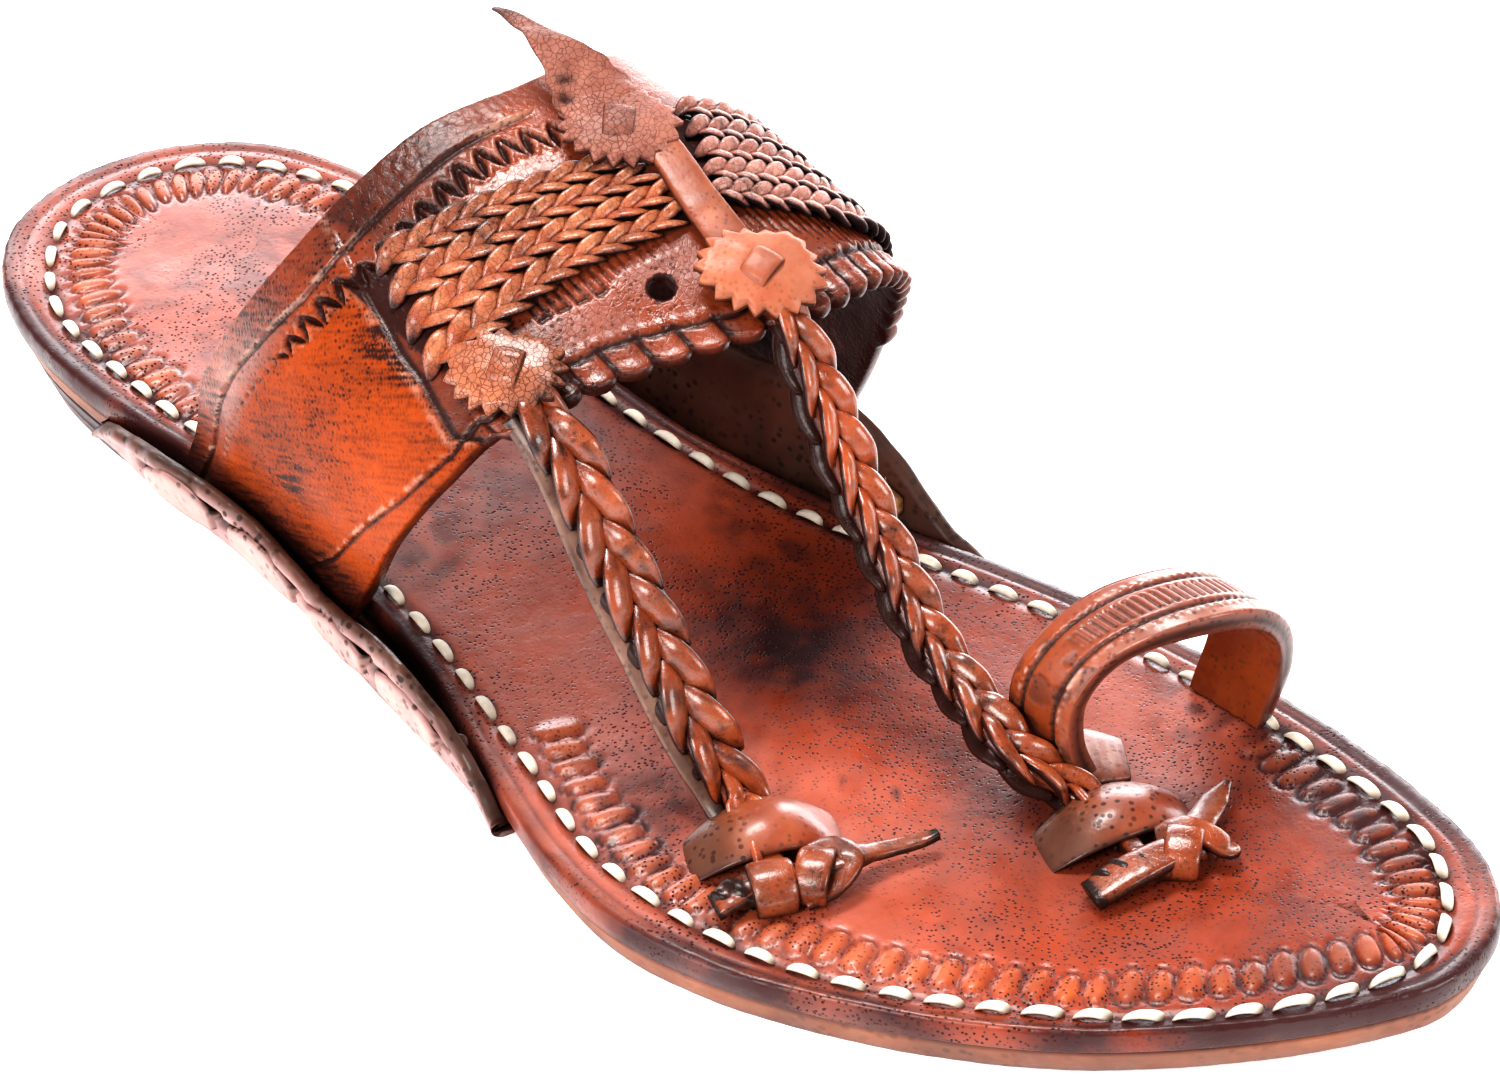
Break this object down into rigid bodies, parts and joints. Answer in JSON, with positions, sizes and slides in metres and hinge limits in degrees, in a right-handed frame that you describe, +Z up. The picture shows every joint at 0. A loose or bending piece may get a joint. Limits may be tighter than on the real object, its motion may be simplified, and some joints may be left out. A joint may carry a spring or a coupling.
{
  "type": "kolhapuri sandal",
  "caption": "Leather kolhapuri sandal, right foot: flat layered sole, scalloped instep band with plaited rows and gear-edged rosettes, plaited straps to the forefoot, toe loop.",
  "frame": {"origin": "middle of the bounding box's underside, on the ground", "axes": "+Z up, +Y from the toe to the heel, +X to the inner side of a right foot"},
  "size_m": [0.0946, 0.2632, 0.0862],
  "materials": {
    "insole_leather": "antiqued red-brown, waxed",
    "sole_leather": "dyed red-brown edge",
    "heel_leather": "burnished dark edge",
    "ear_leather": "grained, rough cut edge",
    "thong_leather": "raw tan",
    "strap_leather": "antiqued orange-brown, glossy",
    "rosette_leather": "grained, satin"
  },
  "bodies": {
    "root": {"insole": "insole_leather", "outsole": "sole_leather", "heel_wedge": "heel_leather", "heel_lift": "heel_leather", "lateral_ear": "ear_leather", "medial_ear": "ear_leather", "lateral_ear_thong": "thong_leather", "medial_ear_thong": "thong_leather", "upper": "strap_leather", "rear_rosette": "rosette_leather", "front_rosette": "rosette_leather", "side_rosette": "rosette_leather", "toe_loop": "strap_leather"}
  },
  "joints": []
}
